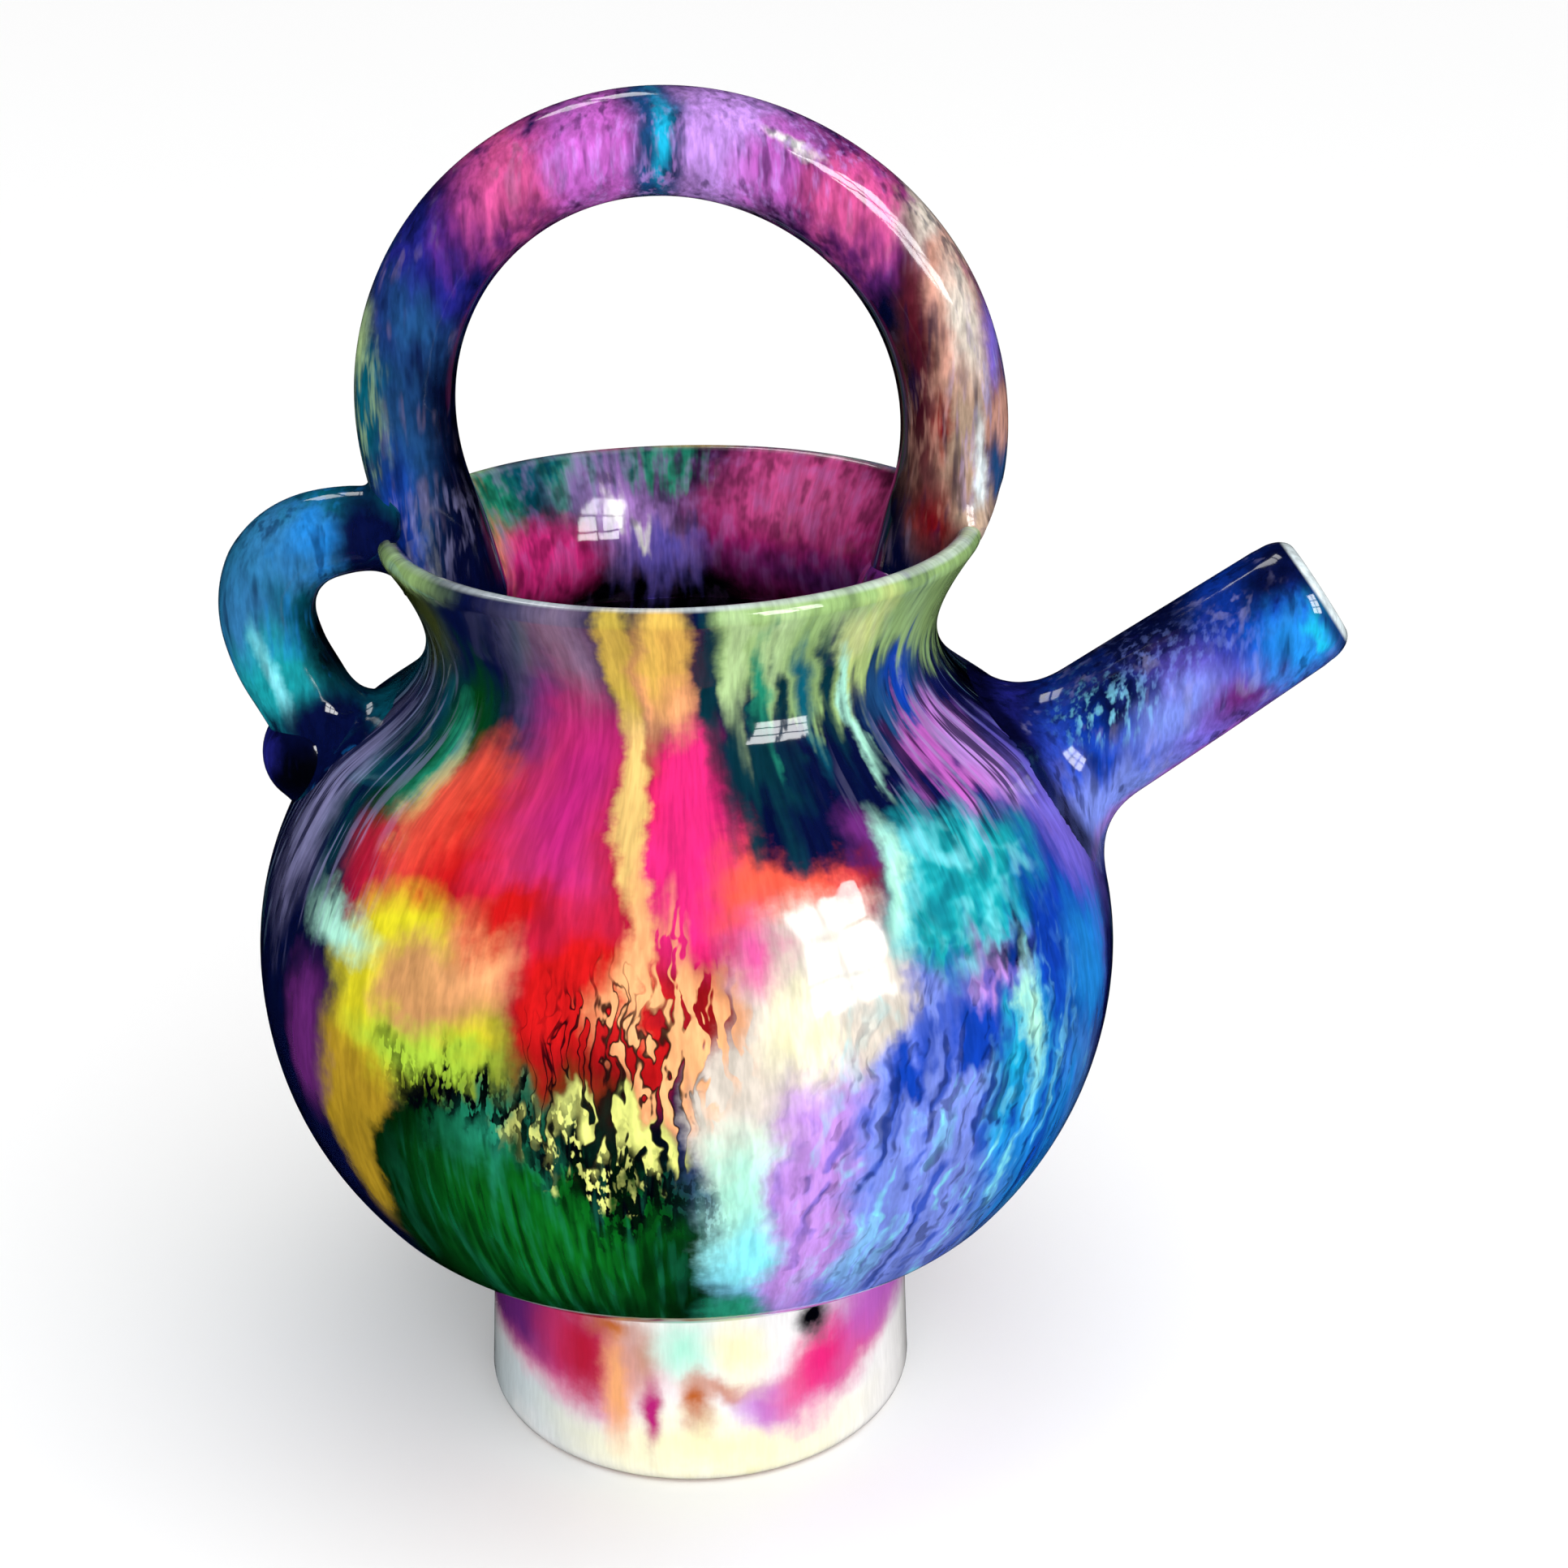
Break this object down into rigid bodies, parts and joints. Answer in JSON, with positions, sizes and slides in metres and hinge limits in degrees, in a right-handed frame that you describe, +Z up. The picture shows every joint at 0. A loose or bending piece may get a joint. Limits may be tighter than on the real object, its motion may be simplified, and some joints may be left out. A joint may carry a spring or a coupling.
{
  "type": "jug",
  "caption": "Round-bellied glazed earthenware water jug on a foot, with a flared mouth, a hoop handle over it, a straight pouring spout and a finger loop.",
  "frame": {"origin": "centre of the foot's flat base, on the surface the jug stands on", "axes": "+Z up the jug's axis, +X the way the spout points, +Y away from the side that the picture shows"},
  "size_m": [0.2179, 0.17, 0.2688],
  "materials": {
    "foot_glaze": "gloss, thin white glaze with pink, crimson and peach runs",
    "belly_glaze": "gloss, poured running glaze of crimson, yellow, green, blue and lilac",
    "neck_glaze": "gloss, poured running glaze of celadon, ochre and navy",
    "spout_glaze": "gloss, royal blue to violet running glaze",
    "hoop_glaze": "gloss, pink, lilac, indigo and maroon running glaze",
    "loop_glaze": "gloss, turquoise to navy running glaze",
    "wad_glaze": "gloss, navy glaze"
  },
  "bodies": {
    "root": {"foot": "foot_glaze", "belly": "belly_glaze", "neck": "neck_glaze", "spout": "spout_glaze", "spout_collar": "spout_glaze", "hoop_handle": "hoop_glaze", "hoop_wad_left": "wad_glaze", "hoop_wad_right": "wad_glaze", "side_handle": "loop_glaze", "side_handle_pad": "wad_glaze"}
  },
  "joints": []
}
